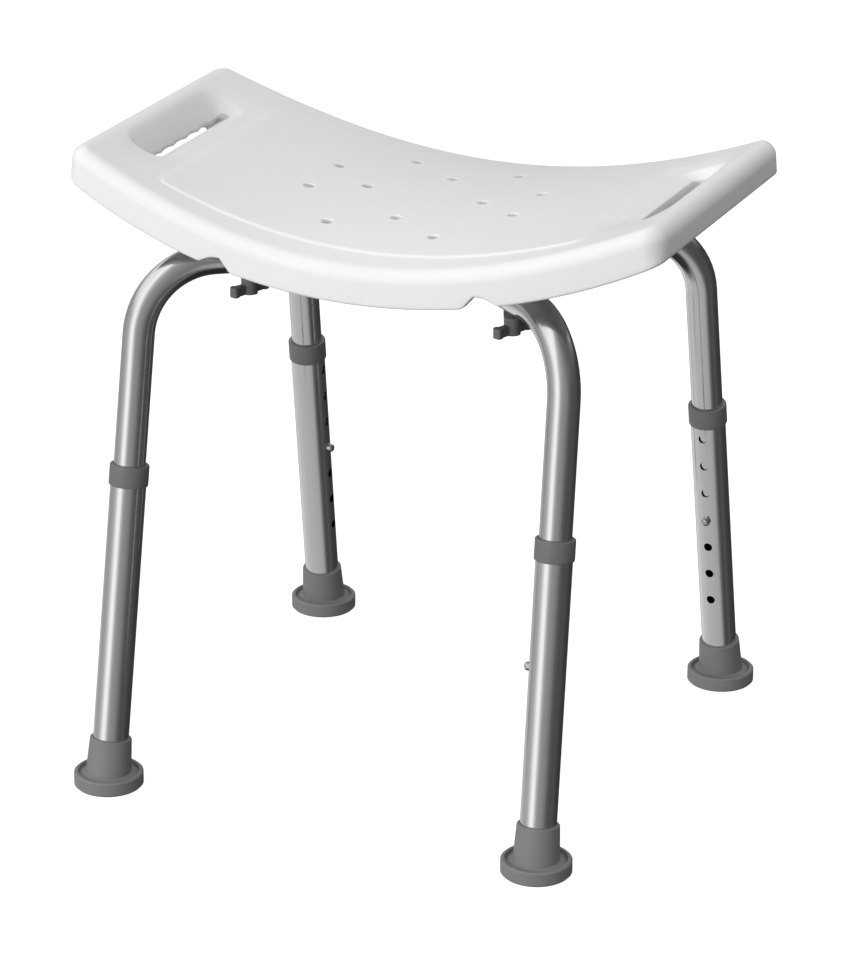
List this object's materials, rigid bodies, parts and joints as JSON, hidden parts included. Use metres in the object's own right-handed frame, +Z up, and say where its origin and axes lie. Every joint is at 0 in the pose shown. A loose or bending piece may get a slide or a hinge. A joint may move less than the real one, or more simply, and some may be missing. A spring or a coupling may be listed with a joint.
{
  "type": "shower chair",
  "caption": "Backless shower chair: a saddle-curved white plastic seat with hand and drain holes on crossed aluminium tubes, splayed height-adjustable legs and rubber tips.",
  "frame": {"origin": "on the floor, centred under the seat", "axes": "+X along the seat toward its right end, +Y from front to back, +Z up"},
  "size_m": [0.4976, 0.4508, 0.5038],
  "materials": {
    "seat_plastic": "satin white moulded plastic",
    "frame_aluminium": "bright satin anodised",
    "leg_aluminium": "bright satin anodised",
    "collar_plastic": "satin dark grey",
    "tip_rubber": "soft dark grey",
    "knob_plastic": "satin charcoal",
    "insert_brass": "turned",
    "hardware_steel": "bright zinc plated"
  },
  "bodies": {
    "seat_frame": {"seat_shell": "seat_plastic", "frame_tube_front_left": "frame_aluminium", "frame_tube_front_right": "frame_aluminium", "cross_bolt": "hardware_steel", "cross_nut": "hardware_steel", "cross_washers": "hardware_steel", "seat_inserts": "insert_brass", "knob_saddles": "knob_plastic", "button_spring_front_left": "hardware_steel", "button_spring_front_right": "hardware_steel", "button_spring_rear_left": "hardware_steel", "button_spring_rear_right": "hardware_steel"},
    "leg_front_left": {"leg_tube_front_left": "leg_aluminium", "leg_collar_front_left": "collar_plastic", "foot_tip_front_left": "tip_rubber", "foot_disc_front_left": "hardware_steel"},
    "button_front_left": {"snap_button_front_left": "hardware_steel"},
    "knob_front_left": {"thumb_knob_front_left": "knob_plastic", "knob_stud_front_left": "hardware_steel"},
    "leg_front_right": {"leg_tube_front_right": "leg_aluminium", "leg_collar_front_right": "collar_plastic", "foot_tip_front_right": "tip_rubber", "foot_disc_front_right": "hardware_steel"},
    "button_front_right": {"snap_button_front_right": "hardware_steel"},
    "knob_front_right": {"thumb_knob_front_right": "knob_plastic", "knob_stud_front_right": "hardware_steel"},
    "leg_rear_left": {"leg_tube_rear_left": "leg_aluminium", "leg_collar_rear_left": "collar_plastic", "foot_tip_rear_left": "tip_rubber", "foot_disc_rear_left": "hardware_steel"},
    "button_rear_left": {"snap_button_rear_left": "hardware_steel"},
    "knob_rear_left": {"thumb_knob_rear_left": "knob_plastic", "knob_stud_rear_left": "hardware_steel"},
    "leg_rear_right": {"leg_tube_rear_right": "leg_aluminium", "leg_collar_rear_right": "collar_plastic", "foot_tip_rear_right": "tip_rubber", "foot_disc_rear_right": "hardware_steel"},
    "button_rear_right": {"snap_button_rear_right": "hardware_steel"},
    "knob_rear_right": {"thumb_knob_rear_right": "knob_plastic", "knob_stud_rear_right": "hardware_steel"}
  },
  "joints": [
    {"name": "leg_height_front_left", "type": "slide", "parent": "seat_frame", "child": "leg_front_left", "axis": [-0.0173, -0.1541, -0.9879], "range_m": [-0.0762, 0.0762]},
    {"name": "button_press_front_left", "type": "slide", "parent": "seat_frame", "child": "button_front_left", "axis": [0.0027, -0.9881, 0.1541], "range_m": [0, 0.0064], "stiffness_N_per_m": 1500, "springref_m": -0.004, "deforming": ["button_spring_front_left"]},
    {"name": "knob_turn_front_left", "type": "hinge", "parent": "seat_frame", "child": "knob_front_left", "pos_m": [-0.112, -0.0839, 0.395], "axis": [0, 0, 1], "continuous": true},
    {"name": "leg_height_front_right", "type": "slide", "parent": "seat_frame", "child": "leg_front_right", "axis": [0.0173, -0.1541, -0.9879], "range_m": [-0.0762, 0.0762]},
    {"name": "button_press_front_right", "type": "slide", "parent": "seat_frame", "child": "button_front_right", "axis": [0.9999, 0.0027, 0.0171], "range_m": [0, 0.0064], "stiffness_N_per_m": 1500, "springref_m": -0.004, "deforming": ["button_spring_front_right"]},
    {"name": "knob_turn_front_right", "type": "hinge", "parent": "seat_frame", "child": "knob_front_right", "pos_m": [0.112, -0.0839, 0.395], "axis": [0, 0, 1], "continuous": true},
    {"name": "leg_height_rear_left", "type": "slide", "parent": "seat_frame", "child": "leg_rear_left", "axis": [-0.0173, 0.1541, -0.9879], "range_m": [-0.0762, 0.0762]},
    {"name": "button_press_rear_left", "type": "slide", "parent": "seat_frame", "child": "button_rear_left", "axis": [-0.9999, -0.0027, 0.0171], "range_m": [0, 0.0064], "stiffness_N_per_m": 1500, "springref_m": -0.004, "deforming": ["button_spring_rear_left"]},
    {"name": "knob_turn_rear_left", "type": "hinge", "parent": "seat_frame", "child": "knob_rear_left", "pos_m": [-0.112, 0.0839, 0.395], "axis": [0, 0, 1], "continuous": true},
    {"name": "leg_height_rear_right", "type": "slide", "parent": "seat_frame", "child": "leg_rear_right", "axis": [0.0173, 0.1541, -0.9879], "range_m": [-0.0762, 0.0762]},
    {"name": "button_press_rear_right", "type": "slide", "parent": "seat_frame", "child": "button_rear_right", "axis": [-0.0027, 0.9881, 0.1541], "range_m": [0, 0.0064], "stiffness_N_per_m": 1500, "springref_m": -0.004, "deforming": ["button_spring_rear_right"]},
    {"name": "knob_turn_rear_right", "type": "hinge", "parent": "seat_frame", "child": "knob_rear_right", "pos_m": [0.112, 0.0839, 0.395], "axis": [0, 0, 1], "continuous": true}
  ]
}
